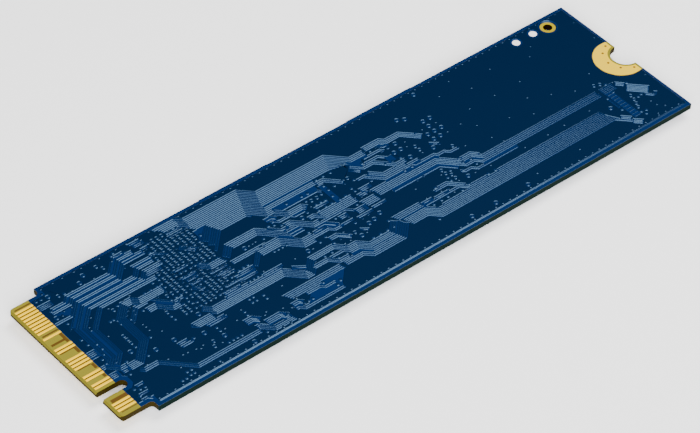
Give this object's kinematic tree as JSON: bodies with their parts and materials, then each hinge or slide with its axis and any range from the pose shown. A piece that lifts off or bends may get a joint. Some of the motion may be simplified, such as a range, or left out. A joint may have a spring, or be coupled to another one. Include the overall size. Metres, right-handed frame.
{
  "type": "m2 nvme ssd",
  "caption": "Solid state drive on a narrow M.2 card, bare face up, with gold edge contacts, relief tracks under blue solder mask, a half-round mounting notch and chips below.",
  "frame": {"origin": "under the middle of the card, on the plane of the chip tops that it rests on", "axes": "+X along the card from the edge contacts to the mounting notch, +Z out of the bare face, +Y to the long edge that is further from the key slot"},
  "size_m": [0.08, 0.022, 0.002],
  "materials": {
    "laminate": "satin olive glass-fibre laminate",
    "solder_mask": "glossy blue solder mask film",
    "covered_ground_copper": "glossy navy mask over copper",
    "covered_tracks": "glossy blue mask over raised tracks",
    "gold_plating": "pale satin gold",
    "tinned_metal": "bright tin",
    "solder": "satin solder",
    "chip_mould": "matt black moulding compound",
    "capacitor_ceramic": "satin brown ceramic",
    "resistor_body": "satin black coat",
    "inductor_ferrite": "matt dark grey",
    "crystal_ceramic": "matt dark ceramic"
  },
  "bodies": {
    "root": {"board_laminate": "laminate", "solder_mask_bare_side": "solder_mask", "solder_mask_component_side": "solder_mask", "ground_copper_bare_side": "covered_ground_copper", "host_link_tracks": "covered_tracks", "controller_fanout_tracks": "covered_tracks", "upper_bus_tracks": "covered_tracks", "middle_bus_tracks": "covered_tracks", "lower_bus_tracks": "covered_tracks", "flash_bus_tracks": "covered_tracks", "flash_fanout_tracks": "covered_tracks", "edge_contacts_bare_side": "gold_plating", "edge_contacts_component_side": "gold_plating", "mounting_notch_pads": "gold_plating", "corner_hole_plating": "gold_plating", "round_test_pads": "tinned_metal", "controller_package": "chip_mould", "controller_solder_balls": "solder", "memory_package": "chip_mould", "memory_solder_balls": "solder", "middle_flash_package": "chip_mould", "middle_flash_solder_balls": "solder", "far_flash_package": "chip_mould", "far_flash_solder_balls": "solder", "power_management_chip": "chip_mould", "power_chip_lands": "solder", "boot_flash_chip": "chip_mould", "boot_chip_lands": "solder", "crystal_base": "crystal_ceramic", "crystal_lid": "tinned_metal", "voltage_regulator": "chip_mould", "regulator_leads": "tinned_metal", "small_capacitors": "capacitor_ceramic", "small_capacitors_ends": "tinned_metal", "chip_resistors": "resistor_body", "chip_resistors_ends": "tinned_metal", "large_capacitors": "capacitor_ceramic", "large_capacitors_ends": "tinned_metal", "power_inductors": "inductor_ferrite", "inductor_terminals": "tinned_metal"}
  },
  "joints": []
}
